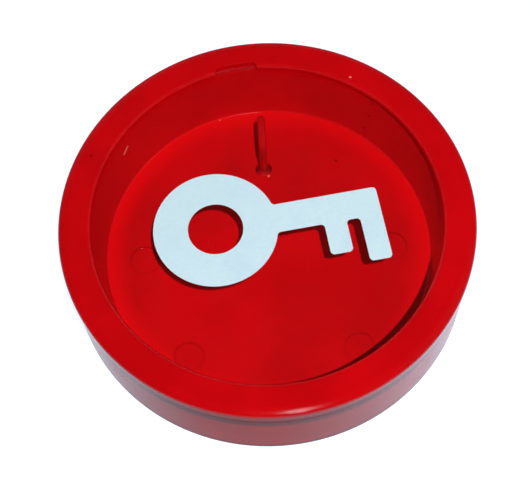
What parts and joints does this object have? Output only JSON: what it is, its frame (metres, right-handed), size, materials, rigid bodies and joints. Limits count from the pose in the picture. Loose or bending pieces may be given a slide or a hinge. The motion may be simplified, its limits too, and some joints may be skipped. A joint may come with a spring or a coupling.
{
  "type": "break glass key box",
  "caption": "Round wall box with a printed glass pane under a push-fit ring and a hook for an emergency key in its dish.",
  "frame": {"origin": "centre of the back, on the wall plane", "axes": "+Z out of the box's front, square to the pane; +Y up on the wall, towards the key hook; +X to the right seen from the front"},
  "size_m": [0.12, 0.12, 0.0294],
  "materials": {
    "red_dish": "moulded gloss",
    "red_hook": "moulded gloss",
    "seal_rubber": "soft matt",
    "pane_glass": "clear float glass",
    "white_ink": "screen-printed ink",
    "red_ring": "moulded gloss"
  },
  "bodies": {
    "dish": {"back_dish": "red_dish", "key_hook": "red_hook"},
    "seat": {"glass_seal": "seal_rubber"},
    "pane": {"glass_pane": "pane_glass", "glass_print": "white_ink"},
    "cover": {"cover_ring": "red_ring"}
  },
  "joints": [
    {"name": "cover_turn", "type": "hinge", "parent": "dish", "child": "seat", "pos_m": [0, 0, 0.0244], "axis": [0, 0, 1], "continuous": true},
    {"name": "ring_lift", "type": "slide", "parent": "seat", "child": "cover", "axis": [0, 0, 1], "range_m": [0, 0.024]},
    {"name": "pane_lift", "type": "slide", "parent": "seat", "child": "pane", "axis": [0, 0, 1], "range_m": [0, 0.012]}
  ],
  "couplings": [
    {"joint": "pane_lift", "follows": "ring_lift", "ratio": 0.5}
  ]
}
